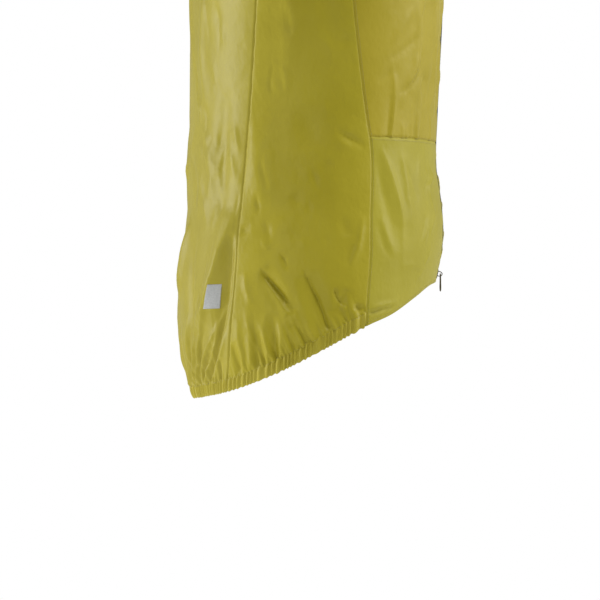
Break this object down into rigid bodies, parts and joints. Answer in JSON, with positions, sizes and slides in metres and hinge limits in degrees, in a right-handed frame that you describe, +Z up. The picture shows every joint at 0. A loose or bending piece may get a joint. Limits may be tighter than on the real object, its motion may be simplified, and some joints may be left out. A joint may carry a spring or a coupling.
{
  "type": "gilet",
  "caption": "Lightweight windproof gilet as worn: hollow shell with dropped tail, gathered hem casing, stand collar, bound armholes and two-way front zip with swinging pull tabs.",
  "frame": {"origin": "midway between the neck ends of the two shoulder seams, where the wearer's shoulders hold the garment", "axes": "+Z up as worn, -Y to the wearer's front, +X to the wearer's left"},
  "size_m": [0.3878, 0.2664, 0.768],
  "materials": {
    "shell_fabric": "thin windproof woven shell, satin",
    "elastic_fabric": "gathered shell cloth over elastic, satin",
    "zip_tape": "matt woven zip tape",
    "zip_metal": "dark olive bronze lacquer, semi-gloss",
    "reflective": "grey reflective film, fine grain"
  },
  "bodies": {
    "garment": {"back_panel": "shell_fabric", "side_panel_R": "shell_fabric", "side_panel_L": "shell_fabric", "front_lower_R": "shell_fabric", "front_lower_L": "shell_fabric", "front_upper_R": "shell_fabric", "front_upper_L": "shell_fabric", "collar": "shell_fabric", "armhole_binding_R": "elastic_fabric", "armhole_binding_L": "elastic_fabric", "hem_casing_back": "elastic_fabric", "hem_casing_side_R": "elastic_fabric", "hem_casing_side_L": "elastic_fabric", "zip_tape_R": "zip_tape", "zip_tape_L": "zip_tape", "slider_lower": "zip_metal", "slider_upper": "zip_metal", "reflective_patch": "reflective"},
    "lower_pull": {"pull_lower": "zip_metal"},
    "upper_pull": {"pull_upper": "zip_metal"}
  },
  "joints": [
    {"name": "lower_pull_swing", "type": "hinge", "parent": "garment", "child": "lower_pull", "pos_m": [0, -0.12536, -0.59719], "axis": [-1, 0, 0], "range_deg": [0, 150]},
    {"name": "upper_pull_swing", "type": "hinge", "parent": "garment", "child": "upper_pull", "pos_m": [0, -0.08475, -0.02872], "axis": [-1, 0, 0], "range_deg": [0, 150]}
  ]
}
